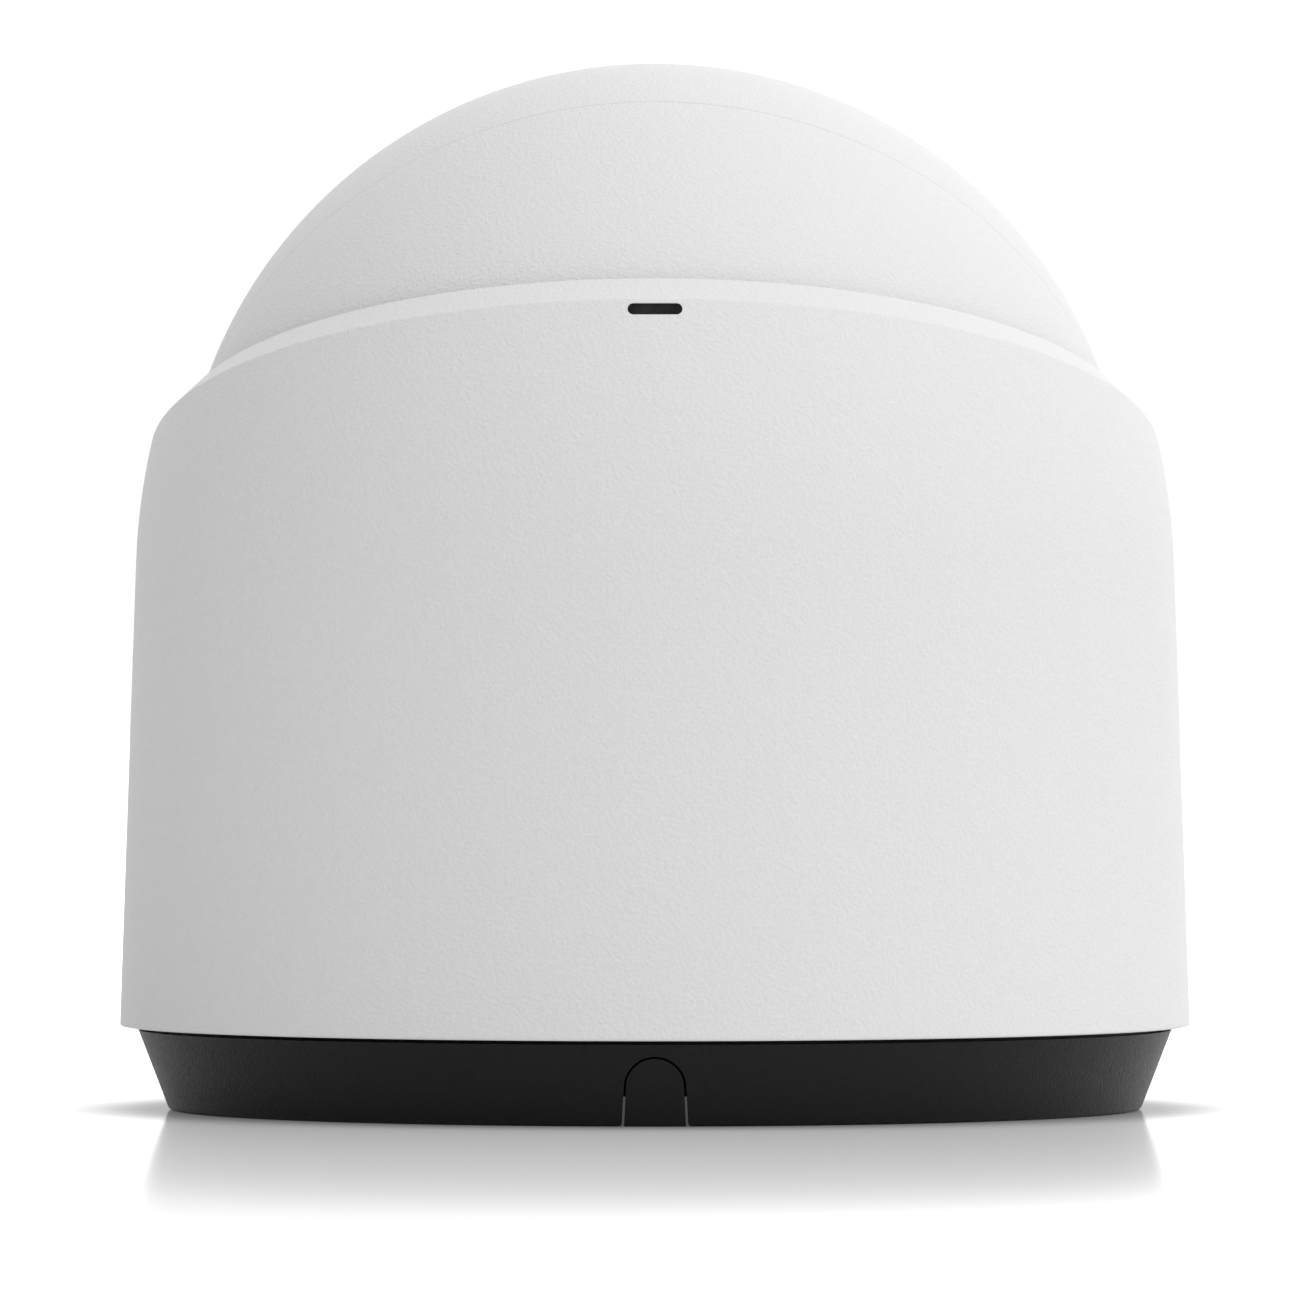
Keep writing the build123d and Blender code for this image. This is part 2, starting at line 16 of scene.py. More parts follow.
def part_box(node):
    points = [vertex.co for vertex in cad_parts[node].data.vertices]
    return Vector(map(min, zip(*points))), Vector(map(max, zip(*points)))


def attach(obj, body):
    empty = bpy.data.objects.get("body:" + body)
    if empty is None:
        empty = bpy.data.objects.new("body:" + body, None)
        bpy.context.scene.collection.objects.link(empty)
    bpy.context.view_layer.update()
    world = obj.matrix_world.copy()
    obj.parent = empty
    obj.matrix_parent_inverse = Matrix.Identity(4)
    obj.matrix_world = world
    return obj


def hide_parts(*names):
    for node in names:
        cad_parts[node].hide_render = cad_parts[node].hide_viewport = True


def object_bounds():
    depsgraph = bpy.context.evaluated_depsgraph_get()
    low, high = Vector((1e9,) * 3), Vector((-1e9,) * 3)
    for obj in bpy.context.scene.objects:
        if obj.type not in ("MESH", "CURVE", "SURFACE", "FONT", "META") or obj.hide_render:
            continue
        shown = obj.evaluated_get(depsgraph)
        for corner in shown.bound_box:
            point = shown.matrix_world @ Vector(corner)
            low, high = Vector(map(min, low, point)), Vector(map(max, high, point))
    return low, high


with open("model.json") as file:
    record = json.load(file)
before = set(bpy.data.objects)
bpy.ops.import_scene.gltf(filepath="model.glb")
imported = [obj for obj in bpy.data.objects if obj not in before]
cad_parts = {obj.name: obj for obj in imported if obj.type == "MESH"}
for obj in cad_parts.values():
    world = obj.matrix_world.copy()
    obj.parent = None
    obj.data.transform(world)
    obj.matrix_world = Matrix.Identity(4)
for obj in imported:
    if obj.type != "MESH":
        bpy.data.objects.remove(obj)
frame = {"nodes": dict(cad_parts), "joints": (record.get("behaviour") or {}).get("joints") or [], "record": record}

cad_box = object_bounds()
scene = bpy.context.scene
nodes = frame["nodes"]
joints = {joint["name"]: joint for joint in frame["joints"]}
mm = 0.001

# ---------------------------------------------------------------- housing sizes
housing_bottom_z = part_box("housing_shell")[0].z
housing_bottom_r = 55.05 * mm
housing_taper = 0.0343
housing_wall = 2.5 * mm
housing_bottom_rounding = 0.35 * mm
shoulder_z = 56.2 * mm
shoulder_r = 65.7 * mm
rim_slope = 0.2932
rim_z = 71.49 * mm
band_outer_z = 68.25 * mm
band_inset = 2.29 * mm
band_outer_rounding = 0.12 * mm
band_inner_rounding = 0.15 * mm

slot_z = 81.05 * mm
slot_length = 5.45 * mm
slot_height = 1.14 * mm
slot_cutter_start_y = 44 * mm
slot_cutter_end_y = 50 * mm
pocket_low = (-4 * mm, 40 * mm, 79.4 * mm)
pocket_high = (4 * mm, 46.2 * mm, 82.35 * mm)

yoke_recess_inner_x = 45 * mm
yoke_recess_outer_x = 51.2 * mm
yoke_recess_half_width = 5.1 * mm
yoke_recess_bottom_z = 7 * mm
yoke_recess_top_z = 64.4 * mm
lock_hole_r = 1.5 * mm
lock_hole_start_r = 45 * mm
lock_hole_end_r = 60 * mm
lock_hole_z = 11 * mm
lock_hole_angle = radians(240)

boss_r = 3 * mm
boss_hole_r = 1.5 * mm
boss_pitch_r = 46 * mm
boss_angles = (90, 210, 330)
boss_bottom_z = 9.5 * mm
boss_top_z = 24 * mm
rib_inner_r = 47.5 * mm
rib_outer_r = 52.5 * mm
rib_thickness = 2.4 * mm
rib_bottom_z = 14.5 * mm

# ---------------------------------------------------------------- ball sizes
# Values named _t are distances ahead of the ball's centre along the lens axis.
ball_centre = Vector(joints["tilt"]["pos_m"])
lens_axis = Vector(joints["roll"]["axis"]).normalized()
ball_r = 49.05 * mm
ball_inner_r = 47.05 * mm
seam_t = 1.28 * mm
seam_gap = 0.03 * mm
seam_bevel = 0.08 * mm
flange_inner_r = 41 * mm
flange_back_t = -3.72 * mm
flange_front_t = 5.18 * mm
groove_inner_r = 42.1 * mm
groove_outer_r = 43.7 * mm
groove_floor_t = -0.07 * mm

rear_flat_t = -37.6 * mm
cover_seat_r = 30.2 * mm
cover_seat_t = -35.05 * mm
cover_opening_r = 26.5 * mm
cover_land_r = 33.5 * mm
cover_land_t = -32.6 * mm

window_mouth_r = 23.6 * mm
sleeve_shoulder_t = 41.6 * mm
sleeve_inner_r = 22.6 * mm
sleeve_outer_r = 25.4 * mm
sleeve_back_t = 30.5 * mm

pin_hole_r = 2.51 * mm
pin_hole_inner_x = 40 * mm
pin_hole_outer_x = 60 * mm
collar_recess_r = 3.33 * mm
collar_recess_inner_x = 44.3 * mm
collar_recess_outer_x = 45.7 * mm

board_boss_r = 2.6 * mm
board_boss_hole_r = 1.05 * mm
board_boss_pitch_r = 33 * mm
board_boss_angles = (40, 140, 220, 320)
board_boss_back_t = -33.2 * mm
board_boss_front_t = -22.05 * mm

# ---------------------------------------------------------------- lens module sizes
drum_r = 22.3 * mm
drum_land_r = 22.55 * mm
drum_neck_r = 22.2 * mm
drum_inner_r = 20.9 * mm
drum_hole_r = 9.0 * mm
drum_back_t = 8.0 * mm
drum_floor_t = 9.5 * mm
rear_land_t = (31.0 * mm, 33.0 * mm)
front_land_t = (38.0 * mm, 40.0 * mm)
drum_neck_t = (41.5 * mm, 41.75 * mm)
bezel_r = 23.3 * mm
bezel_front_t = 43.0 * mm
bezel_rounding = 0.4 * mm
drum_rounding = 0.2 * mm
window_seat_r = 21.55 * mm
window_ledge_r = 20.0 * mm
window_ledge_t = (39.8 * mm, 40.8 * mm)
board_ledge_r = 17.8 * mm
board_ledge_t = (32.0 * mm, 33.0 * mm)

lamp_pitch_r = 15.8 * mm
lamp_angles = (0, 36, 72, 144, 180, 216, 252, 288, 324)
package_side = 3.4 * mm
package_height = 0.9 * mm
package_middle_t = 34.73 * mm
package_bevel = 0.18 * mm
die_side = 1.0 * mm
die_height = 0.16 * mm
die_middle_t = 35.24 * mm
dome_r = 1.49 * mm
dome_height = 1.29 * mm
dome_base_t = 35.19 * mm
dome_tip_r = 0.02 * mm

# ---------------------------------------------------------------- fineness of the meshes
columns = 384
drum_columns = 256
post_columns = 40
cutter_columns = 48
wall_rows = 72
inner_wall_rows = 24
ball_rows = 90
inner_ball_rows = 24
dome_rows = 16
slot_end_rows = 16
small_rounding = 0.25 * mm

# ---------------------------------------------------------------- studio sizes
floor_half_width = 6.0
floor_gap = 0.02 * mm
camera_distance = 1.289
camera_height = 0.0467
camera_lens = 343.9
camera_sensor = 36.0


# ---------------------------------------------------------------- mesh helpers
def new_object(name, mesh):
    """A piece with that mesh, in the scene."""
    piece = bpy.data.objects.new(name, mesh)
    scene.collection.objects.link(piece)
    return piece


def grid_mesh(name, rings, slots=None):
    """A closed mesh whose rings are equal lists of points, joined round and round.

    slots gives a material index for each row of faces between neighbouring points.
    """
    count = len(rings[0])
    points = [point for ring in rings for point in ring]
    faces = []
    indices = []
    for i in range(len(rings)):
        following = (i + 1) % len(rings)
        for j in range(count):
            k = (j + 1) % count
            faces.append((i * count + j, following * count + j, following * count + k, i * count + k))
            indices.append(slots[j] if slots else 0)
    mesh = bpy.data.meshes.new(name)
    mesh.from_pydata(points, [], faces)
    mesh.polygons.foreach_set("material_index", indices)
    mesh.polygons.foreach_set("use_smooth", [True] * len(faces))
    build = bmesh.new()
    build.from_mesh(mesh)
    bmesh.ops.recalc_face_normals(build, faces=build.faces)
    build.to_mesh(mesh)
    build.free()
    return mesh


def rounded(corner, before, after, reach, steps=6):
    """Points that round a corner of a path in two dimensions, with a support point each side."""
    def towards(target, distance):
        dx, dy = target[0] - corner[0], target[1] - corner[1]
        length = hypot(dx, dy)
        step = min(distance, 0.45 * length)
        return corner[0] + dx / length * step, corner[1] + dy / length * step

    start, end = towards(before, reach), towards(after, reach)
    points = [towards(before, reach * 1.6)]
    for i in range(steps + 1):
        t = i / steps
        weights = (1 - t) ** 2, 2 * t * (1 - t), t * t
        points.append(tuple(
            weights[0] * start[n] + weights[1] * corner[n] + weights[2] * end[n] for n in (0, 1)
        ))
    points.append(towards(after, reach * 1.6))
    return points


def rounded_path(corners, before=None):
    """A path from corners given as (radius, height, rounding); 0 leaves a corner sharp.

    The path is closed, unless a point before its first corner is given.
    """
    path = []
    for i, (radius, height, reach) in enumerate(corners):
        earlier = before if before and i == 0 else corners[i - 1]
        later = corners[(i + 1) % len(corners)]
        if reach:
            path += rounded((radius, height), earlier, later, reach)
        else:
            path.append((radius, height))
    return path


def lathe(name, path, count=columns):
    """A closed mesh of revolution about Z from a closed path of (radius, height) points."""
    rings = []
    for i in range(count):
        angle = 2 * pi * i / count
        rings.append([(r * cos(angle), r * sin(angle), z) for r, z in path])
    return grid_mesh(name, rings)


def arc(radius, start, end, steps):
    """Points on a circle round the origin, as (radius, height); angles from the equator."""
    angles = [start + (end - start) * i / steps for i in range(steps + 1)]
    return [(radius * cos(angle), radius * sin(angle)) for angle in angles]


def cut(piece, cutter):
    """Cut a closed shape out of a piece and throw the cutter away."""
    modifier = piece.modifiers.new("cut", "BOOLEAN")
    modifier.operation = "DIFFERENCE"
    modifier.solver = "EXACT"
    modifier.object = cutter
    graph = bpy.context.evaluated_depsgraph_get()
    mesh = bpy.data.meshes.new_from_object(piece.evaluated_get(graph))
    piece.modifiers.clear()
    old = piece.data
    piece.data = mesh
    mesh.name = old.name
    bpy.data.meshes.remove(old)
    bpy.data.objects.remove(cutter)


def crisp(piece, angle=35):
    """Smooth shading that breaks at edges sharper than angle, in degrees."""
    piece.data.polygons.foreach_set("use_smooth", [True] * len(piece.data.polygons))
    piece.data.set_sharp_from_angle(angle=radians(angle))
    return piece


def finished(name, build):
    """Turn a bmesh into a piece."""
    mesh = bpy.data.meshes.new(name)
    build.to_mesh(mesh)
    build.free()
    return new_object(name, mesh)


def cylinder(name, radius, low, high):
    """A closed cylinder along Z."""
    build = bmesh.new()
    bmesh.ops.create_cone(
        build, cap_ends=True, segments=cutter_columns, radius1=radius, radius2=radius,
        depth=high - low, matrix=Matrix.Translation((0.0, 0.0, (low + high) / 2)),
    )
    return finished(name, build)


def add_block(build, middle, size, turn=Matrix()):
    """Add a block to a bmesh, turned about the origin once it is in place."""
    shape = Matrix.Translation(middle) @ Matrix.Diagonal((*size, 1.0))
    return bmesh.ops.create_cube(build, size=1.0, matrix=turn @ shape)


def box(name, low, high):
    """A closed box between two corners."""
    build = bmesh.new()
    middle = (Vector(low) + Vector(high)) / 2
    add_block(build, middle, [abs(b - a) for a, b in zip(low, high)])
    return finished(name, build)


def on_circle(pitch_r, angles):
    """Points on a circle round the axis; angles in degrees."""
    return [(pitch_r * cos(radians(a)), pitch_r * sin(radians(a))) for a in angles]


def belongs(piece, body, slot, *replaced):
    """Put a piece on the body it rides on and hide the CAD nodes that it stands for; slot is not used."""
    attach(piece, body)
    if replaced:
        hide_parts(*replaced)


# ---------------------------------------------------------------- node helpers
def shader(name, color, roughness, **sockets):
    """A material with its principled shader; the sockets are set to plain values."""
    made = bpy.data.materials.new(name)
    made.use_nodes = True
    tree = made.node_tree
    bsdf = tree.nodes["Principled BSDF"]
    bsdf.inputs["Base Color"].default_value = (*color, 1.0)
    bsdf.inputs["Roughness"].default_value = roughness
    for socket, value in sockets.items():
        bsdf.inputs[socket.replace("_", " ")].default_value = value
    return made


def place_of(tree):
    """The point on the surface, in metres, which stays with the piece as it moves."""
    return tree.nodes.new("ShaderNodeTexCoord").outputs["Object"]


def noise(tree, size, detail=2.0, roughness=0.5, stretch=None):
    """A noise value whose features are about size metres across."""
    place = place_of(tree)
    if stretch:
        scale = tree.nodes.new("ShaderNodeMapping")
        scale.inputs["Scale"].default_value = stretch
        tree.links.new(place, scale.inputs["Vector"])
        place = scale.outputs["Vector"]
    node = tree.nodes.new("ShaderNodeTexNoise")
    node.inputs["Scale"].default_value = 1.0 / size
    node.inputs["Detail"].default_value = detail
    node.inputs["Roughness"].default_value = roughness
    tree.links.new(place, node.inputs["Vector"])
    return node.outputs["Fac"]


def spread(tree, value, low, high, from_low=0.3, from_high=0.7):
    """Carry a value, by default a noise in its usual range, to the range low to high."""
    node = tree.nodes.new("ShaderNodeMapRange")
    node.inputs["From Min"].default_value = from_low
    node.inputs["From Max"].default_value = from_high
    node.inputs["To Min"].default_value = low
    node.inputs["To Max"].default_value = high
    tree.links.new(value, node.inputs["Value"])
    return node.outputs["Result"]


def calculate(tree, operation, first, second):
    """A sum or a product of two values, each a socket or a plain number."""
    node = tree.nodes.new("ShaderNodeMath")
    node.operation = operation
    for socket, value in zip(node.inputs, (first, second)):
        if isinstance(value, float):
            socket.default_value = value
        else:
            tree.links.new(value, socket)
    return node.outputs["Value"]


def share_along(tree, direction, weights):
    """How much of a direction lies along another one."""
    node = tree.nodes.new("ShaderNodeVectorMath")
    node.operation = "DOT_PRODUCT"
    node.inputs[1].default_value = weights
    tree.links.new(direction, node.inputs[0])
    return node.outputs["Value"]


def mix_base_color(tree, factor, first, second):
    """Give the material a colour between two plain ones."""
    mix = tree.nodes.new("ShaderNodeMix")
    mix.data_type = "RGBA"
    mix.inputs["A"].default_value = (*first, 1.0)
    mix.inputs["B"].default_value = (*second, 1.0)
    tree.links.new(factor, mix.inputs["Factor"])
    tree.links.new(mix.outputs["Result"], tree.nodes["Principled BSDF"].inputs["Base Color"])


def add_bump(made, height, depth, strength=1.0):
    """Stack a bump of depth metres on the material's normal."""
    tree = made.node_tree
    bsdf = tree.nodes["Principled BSDF"]
    bump = tree.nodes.new("ShaderNodeBump")
    bump.inputs["Strength"].default_value = strength
    bump.inputs["Distance"].default_value = depth
    tree.links.new(height, bump.inputs["Height"])
    links = bsdf.inputs["Normal"].links
    if links:
        tree.links.new(links[0].from_socket, bump.inputs["Normal"])
    tree.links.new(bump.outputs["Normal"], bsdf.inputs["Normal"])


def vary_roughness(made, size, low, high):
    """Let the roughness wander between two values."""
    tree = made.node_tree
    value = spread(tree, noise(tree, size), low, high)
    tree.links.new(value, tree.nodes["Principled BSDF"].inputs["Roughness"])


def vary_color(made, size, first, second, detail=3.0):
    """Let the colour wander between two colours."""
    tree = made.node_tree
    mix_base_color(tree, spread(tree, noise(tree, size, detail), 0.0, 1.0), first, second)


# ---------------------------------------------------------------- materials
def textured_white():
    """White housing plastic with a fine spark-eroded grain."""
    grain = 0.36 * mm
    made = shader("white_textured", (0.8, 0.8, 0.8), 0.45, Specular_IOR_Level=0.4)
    add_bump(made, noise(made.node_tree, grain, detail=1.5), depth=0.105 * mm)
    vary_roughness(made, 0.5 * mm, low=0.40, high=0.52)
    vary_color(made, grain, (0.785, 0.787, 0.787), (0.811, 0.812, 0.812), detail=1.5)
    return made


def smooth_white():
    """The polished chamfer band."""
    made = shader("white_smooth", (0.8, 0.8, 0.8), 0.3, Coat_Weight=0.8, Coat_Roughness=0.2)
    add_bump(made, noise(made.node_tree, 1.2 * mm), depth=0.004 * mm, strength=0.4)
    vary_roughness(made, 4 * mm, low=0.27, high=0.34)
    vary_color(made, 30 * mm, (0.82, 0.82, 0.82), (0.835, 0.835, 0.835))
    return made


def textured_black(name, level, roughness, specular, grain):
    """Black moulded plastic with a fine grain; roughness gives its low and high value."""
    color = (level, level, level)
    made = shader(name, color, 0.5, Specular_IOR_Level=specular)
    add_bump(made, noise(made.node_tree, grain), depth=0.06 * mm)
    vary_roughness(made, grain, *roughness)
    vary_color(made, grain, color, (level * 1.7, level * 1.7, level * 1.72))
    return made


def soft_rubber(name, level):
    """Dull rubber or foam with fine pores."""
    color = (level, level, level)
    made = shader(name, color, 0.8, Specular_IOR_Level=0.25)
    pores = noise(made.node_tree, 0.25 * mm, detail=3.0, roughness=0.7)
    add_bump(made, pores, depth=0.05 * mm, strength=0.6)
    vary_color(made, 0.8 * mm, color, (level * 1.6, level * 1.6, level * 1.6))
    return made


def metal(name, color, roughness, size, depth, stretch=None):
    """Bare or plated metal with brushed or blasted marks."""
    made = shader(name, color, roughness, Metallic=1.0)
    marks = noise(made.node_tree, size, detail=3.0, roughness=0.6, stretch=stretch)
    add_bump(made, marks, depth, strength=0.5)
    vary_roughness(made, size * 4, roughness - 0.07, roughness + 0.07)
    vary_color(made, 6 * mm, color, tuple(c * 0.88 for c in color))
    return made


def circuit_board(name, mask, copper):
    """Solder mask over faint copper tracks and ground fill."""
    cell_size = 2.4 * mm
    made = shader(name, mask, 0.35, Coat_Weight=0.3, Coat_Roughness=0.2)
    tree = made.node_tree
    cells = tree.nodes.new("ShaderNodeTexVoronoi")
    cells.distance = "CHEBYCHEV"
    cells.feature = "DISTANCE_TO_EDGE"
    cells.inputs["Scale"].default_value = 1 / cell_size
    tree.links.new(place_of(tree), cells.inputs["Vector"])
    track = spread(tree, cells.outputs["Distance"], 1.0, 0.0, from_low=0.03, from_high=0.07)
    mix_base_color(tree, track, mask, copper)
    add_bump(made, track, depth=0.03 * mm, strength=0.4)
    vary_roughness(made, 1.5 * mm, low=0.28, high=0.42)
    return made


def plain_plastic(name, color, roughness):
    """Small moulded parts with slight unevenness."""
    made = shader(name, color, roughness)
    add_bump(made, noise(made.node_tree, 0.3 * mm), depth=0.015 * mm, strength=0.4)
    vary_roughness(made, 1.5 * mm, roughness - 0.06, roughness + 0.06)
    vary_color(made, 5 * mm, color, tuple(c * 0.9 for c in color))
    return made


def glass(name, color, alpha, roughness, **sockets):
    """Glass that is seen through by its alpha, with a slightly uneven polish."""
    made = shader(name, color, roughness, Alpha=alpha, **sockets)
    vary_roughness(made, 9 * mm, roughness, roughness + 0.03)
    return made


MATERIALS = {
    "white_plastic": textured_white(),
    "white_band": smooth_white(),
    "black_base": textured_black(
        "black_base", level=0.0050, roughness=(0.38, 0.50), specular=0.20, grain=0.38 * mm,
    ),
    "black_plastic": textured_black(
        "black_plastic", level=0.010, roughness=(0.33, 0.45), specular=0.45, grain=0.3 * mm,
    ),
    "dark_foam": soft_rubber("dark_foam", level=0.02),
    "rubber": soft_rubber("rubber", level=0.012),
    "acetal": plain_plastic("acetal", (0.72, 0.71, 0.66), roughness=0.4),
    "steel": metal(
        "steel", (0.62, 0.62, 0.61), roughness=0.34, size=0.25 * mm, depth=0.006 * mm,
        stretch=(1.0, 1.0, 0.08),
    ),
    "screw_steel": metal(
        "screw_steel", (0.55, 0.55, 0.54), roughness=0.28, size=0.2 * mm, depth=0.005 * mm,
    ),
    "aluminium": metal(
        "aluminium", (0.66, 0.67, 0.68), roughness=0.46, size=0.18 * mm, depth=0.03 * mm,
    ),
    "grey_plastic": plain_plastic("grey_plastic", (0.12, 0.12, 0.125), roughness=0.45),
    "board_green": circuit_board(
        "board_green", mask=(0.008, 0.055, 0.026), copper=(0.025, 0.12, 0.05),
    ),
    "chip_black": plain_plastic("chip_black", (0.018, 0.018, 0.019), roughness=0.5),
    "window_glass": glass("window_glass", (0.004, 0.004, 0.005), alpha=0.26, roughness=0.015),
    "lens_glass": glass(
        "lens_glass", (0.035, 0.012, 0.085), alpha=0.9, roughness=0.02, Coat_Weight=1.0,
    ),
    "filter_glass": glass("filter_glass", (0.10, 0.42, 0.45), alpha=0.5, roughness=0.02),
    "clear_glass": glass("clear_glass", (0.8, 0.85, 0.85), alpha=0.22, roughness=0.02),
    "lamp_package": plain_plastic("lamp_package", (0.62, 0.60, 0.52), roughness=0.4),
    "lamp_die": plain_plastic("lamp_die", (0.10, 0.012, 0.012), roughness=0.25),
    "mesh_dark": soft_rubber("mesh_dark", level=0.03),
    "flex_amber": plain_plastic("flex_amber", (0.42, 0.17, 0.03), roughness=0.3),
    "button_red": plain_plastic("button_red", (0.42, 0.02, 0.015), roughness=0.35),
}


def paint(piece, *slots):
    """Give a piece its materials in order."""
    piece.data.materials.clear()
    for slot in slots:
        piece.data.materials.append(MATERIALS[slot])


def paint_cad_nodes():
    """Every CAD node gets the material of its slot in the record."""
    for subpart in frame["record"]["subparts"]:
        paint(nodes[subpart["node"]], subpart["material_slot"])


# ---------------------------------------------------------------- housing
def wall_radius(z):
    """Radius of the housing's outside at a height, below the slanted cut."""
    angle = atan(housing_taper)
    start_r = housing_bottom_r - housing_taper * (shoulder_z - housing_bottom_z)
    if z <= shoulder_z:
        return start_r + housing_taper * (shoulder_z - z)
    centre_r = start_r - shoulder_r * cos(angle)
    centre_z = shoulder_z - shoulder_r * sin(angle)
    return centre_r + sqrt(shoulder_r**2 - (z - centre_z) ** 2)


def wall_meets(plane_z, angle):
    """Where the wall crosses a plane parallel to the rim, as (radius, height)."""
    z = plane_z
    for _ in range(40):
        z = plane_z + rim_slope * wall_radius(z) * sin(angle)
    return wall_radius(z), z


def spaced(low, high, rows):
    """Equal steps from low to high, both ends included."""
    return [low + (high - low) * i / rows for i in range(rows + 1)]


def housing_column(angle):
    """The housing's closed section at one angle, as (radius, height) points and face slots."""
    slant = rim_slope * sin(angle)
    outer = wall_meets(band_outer_z, angle)
    plane_r = wall_meets(rim_z, angle)[0]
    inner_r = plane_r - band_inset
    inner = (inner_r, rim_z + slant * inner_r)
    land_r = plane_r - housing_wall
    land = (land_r, rim_z + slant * land_r)
    support = 0.6 * mm
    heights = spaced(housing_bottom_z + support, outer[1] - support, wall_rows)
    wall = [(wall_radius(z), z) for z in heights]
    path = [(housing_bottom_r - housing_wall, housing_bottom_z)]
    path += rounded((housing_bottom_r, housing_bottom_z), path[0], wall[0], housing_bottom_rounding)
    path += wall
    band_start = len(path) + 3
    path += rounded(outer, wall[-1], inner, band_outer_rounding)
    path += [
        (outer[0] + (inner[0] - outer[0]) * share, outer[1] + (inner[1] - outer[1]) * share)
        for share in (0.35, 0.5, 0.65)
    ]
    path += rounded(inner, outer, land, band_inner_rounding)
    band_end = len(path)
    path.append(land)
    inner_heights = spaced(land[1], housing_bottom_z, inner_wall_rows)[1:-1]
    path += [(wall_radius(z) - housing_wall, z) for z in inner_heights]
    slots = [1 if band_start <= i < band_end else 0 for i in range(len(path))]
    return path, slots


def microphone_slot_cutter():
    """A round-ended bar that cuts the microphone slot through the wall at the back."""
    build = bmesh.new()
    half = slot_height / 2
    straight = slot_length / 2 - half
    near = []
    far = []
    for end_x, start in ((straight, -pi / 2), (-straight, pi / 2)):
        for angle in spaced(start, start + pi, slot_end_rows):
            x = end_x + half * cos(angle)
            z = slot_z + half * sin(angle)
            near.append(build.verts.new((x, slot_cutter_start_y, z)))
            far.append(build.verts.new((x, slot_cutter_end_y, z)))
    build.faces.new(near)
    build.faces.new(list(reversed(far)))
    for i in range(len(near)):
        k = (i + 1) % len(near)
        build.faces.new((near[k], near[i], far[i], far[k]))
    bmesh.ops.recalc_face_normals(build, faces=build.faces)
    return finished("slot_cutter", build)


def yoke_recess_cutter(side):
    """A block that makes room for one arm of the yoke in the wall."""
    low = (side * yoke_recess_inner_x, -yoke_recess_half_width, yoke_recess_bottom_z)
    high = (side * yoke_recess_outer_x, yoke_recess_half_width, yoke_recess_top_z)
    return box("yoke_recess", low, high)


def lock_hole_cutter():
    """A rod that drills the hole of the pan lock screw through the wall."""
    lock = cylinder("lock_cutter", lock_hole_r, lock_hole_start_r, lock_hole_end_r)
    lift = Matrix.Translation((0, 0, lock_hole_z))
    level = Matrix.Rotation(pi / 2, 4, "Y")
    lock.data.transform(Matrix.Rotation(lock_hole_angle, 4, "Z") @ lift @ level)
    return lock


def make_housing():
    """The white housing with its slanted rim, chamfer band and microphone slot."""
    rings = []
    for i in range(columns):
        angle = 2 * pi * i / columns
        path, slots = housing_column(angle)
        rings.append([(r * cos(angle), r * sin(angle), z) for r, z in path])
    housing = new_object("housing", grid_mesh("housing", rings, slots))
    cut(housing, microphone_slot_cutter())
    for side in (-1, 1):
        cut(housing, yoke_recess_cutter(side))
    cut(housing, lock_hole_cutter())
    cut(housing, box("microphone_pocket", pocket_low, pocket_high))
    crisp(housing, 40)
    paint(housing, "white_plastic", "white_band")
    belongs(housing, "housing", "white_plastic", "housing_shell")


def posts(name, outer_r, inner_r, low, high, points):
    """Equal tubes along Z at several points, as one piece."""
    build = bmesh.new()
    section = [(inner_r, low), (outer_r, low), (outer_r, high), (inner_r, high)]
    for x, y in points:
        post = lathe(name, section, post_columns)
        post.transform(Matrix.Translation((x, y, 0)))
        build.from_mesh(post)
        bpy.data.meshes.remove(post)
    return crisp(finished(name, build))


def make_housing_bosses():
    """Screw bosses inside the housing, each tied to the wall by a rib."""
    points = on_circle(boss_pitch_r, boss_angles)
    bosses = posts("housing_bosses", boss_r, boss_hole_r, boss_bottom_z, boss_top_z, points)
    build = bmesh.new()
    middle = ((rib_inner_r + rib_outer_r) / 2, 0, (rib_bottom_z + boss_top_z) / 2)
    size = (rib_outer_r - rib_inner_r, rib_thickness, boss_top_z - rib_bottom_z)
    for angle in boss_angles:
        add_block(build, middle, size, Matrix.Rotation(radians(angle), 4, "Z"))
    for piece in (bosses, finished("housing_ribs", build)):
        paint(piece, "white_plastic")
        belongs(piece, "housing", "white_plastic")


# ---------------------------------------------------------------- ball
def along_lens(piece, body, slot, *replaced, look=None):
    """Turn a piece from the lens axis' own frame into place, paint it, put it on its body and hide the CAD nodes
    that it stands for.
    """
    turn = Vector((0, 0, 1)).rotation_difference(lens_axis).to_matrix().to_4x4()
    piece.data.transform(Matrix.Translation(ball_centre) @ turn)
    paint(piece, look or slot)
    belongs(piece, body, slot, *replaced)


def ball_angle(t):
    """Angle above the ball's equator of a plane t ahead of the ball's centre."""
    return asin(t / ball_r)


def inner_angle(t):
    """The same on the inside of the ball's wall."""
    return asin(t / ball_inner_r)


def seam_edge(plane_t, direction):
    """The small bevel at the seam of a ball half that lies in that direction along the axis."""
    seam_r = sqrt(ball_r**2 - plane_t**2)
    return [
        (seam_r - seam_bevel, plane_t),
        (seam_r - 0.3 * seam_bevel, plane_t + direction * 0.35 * seam_bevel),
    ]


